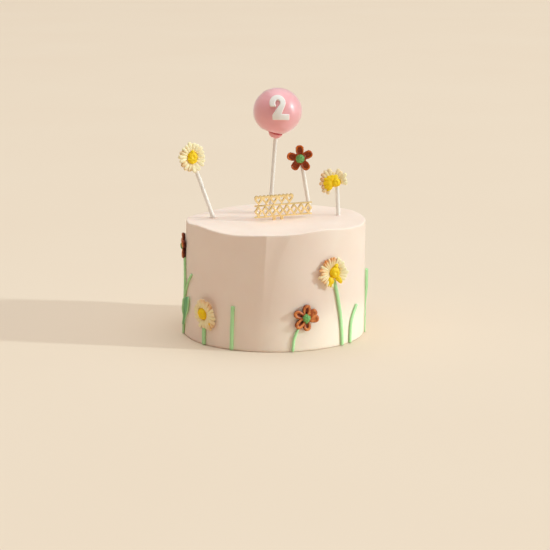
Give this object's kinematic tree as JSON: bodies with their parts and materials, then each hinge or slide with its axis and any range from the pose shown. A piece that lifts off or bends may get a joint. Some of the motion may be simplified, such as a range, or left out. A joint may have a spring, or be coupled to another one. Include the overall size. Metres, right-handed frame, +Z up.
{
  "type": "birthday cake",
  "caption": "Round upright iced birthday cake with piped daisies, brown flowers and green stems on its side, and a balloon, flowers and a gold plate standing on top.",
  "frame": {"origin": "centre of the cake's flat base, at the surface it stands on", "axes": "+Z up, -Y towards the front, where the number on the balloon faces, +X to the right seen from the front"},
  "size_m": [0.1614, 0.1616, 0.2059],
  "materials": {
    "icing": "smooth buttercream, soft sheen",
    "balloon_paste": "polished sugar paste",
    "knot_paste": "sugar paste, satin",
    "number_paste": "dry white sugar paste",
    "plate_gold": "mirror gold",
    "stick_paper": "rolled white paper",
    "petal_cream": "cream icing, matt",
    "centre_yellow": "yellow icing, matt",
    "petal_brown": "brown icing, satin",
    "centre_green": "green icing, matt",
    "stem_green": "pale green icing, matt"
  },
  "bodies": {
    "root": {"cake_body": "icing", "balloon_ball": "balloon_paste", "balloon_knot": "knot_paste", "balloon_number": "number_paste", "topper_plate": "plate_gold", "balloon_stick": "stick_paper", "topper_daisy_left_stick": "stick_paper", "topper_daisy_right_stick": "stick_paper", "topper_flower_stick": "stick_paper", "side_daisy_big_petals": "petal_cream", "side_daisy_small_petals": "petal_cream", "back_daisy_big_petals": "petal_cream", "back_daisy_small_petals": "petal_cream", "topper_daisy_left_petals": "petal_cream", "topper_daisy_right_petals": "petal_cream", "side_daisy_big_centre": "centre_yellow", "side_daisy_small_centre": "centre_yellow", "back_daisy_big_centre": "centre_yellow", "back_daisy_small_centre": "centre_yellow", "topper_daisy_left_centre": "centre_yellow", "topper_daisy_right_centre": "centre_yellow", "side_flower_front_petals": "petal_brown", "side_flower_edge_petals": "petal_brown", "back_flower_petals": "petal_brown", "topper_flower_petals": "petal_brown", "side_flower_front_centre": "centre_green", "side_flower_edge_centre": "centre_green", "back_flower_centre": "centre_green", "topper_flower_centre": "centre_green", "side_daisy_big_stem": "stem_green", "side_daisy_small_stem": "stem_green", "side_flower_front_stem": "stem_green", "side_flower_edge_stem": "stem_green", "back_daisy_big_stem": "stem_green", "back_daisy_small_stem": "stem_green", "back_flower_stem": "stem_green", "edge_sprig": "stem_green", "edge_leaf": "stem_green", "blade_front": "stem_green", "blade_right": "stem_green", "leaf_right": "stem_green", "blade_back_right": "stem_green", "blade_back_middle": "stem_green", "blade_back_left": "stem_green"}
  },
  "joints": []
}
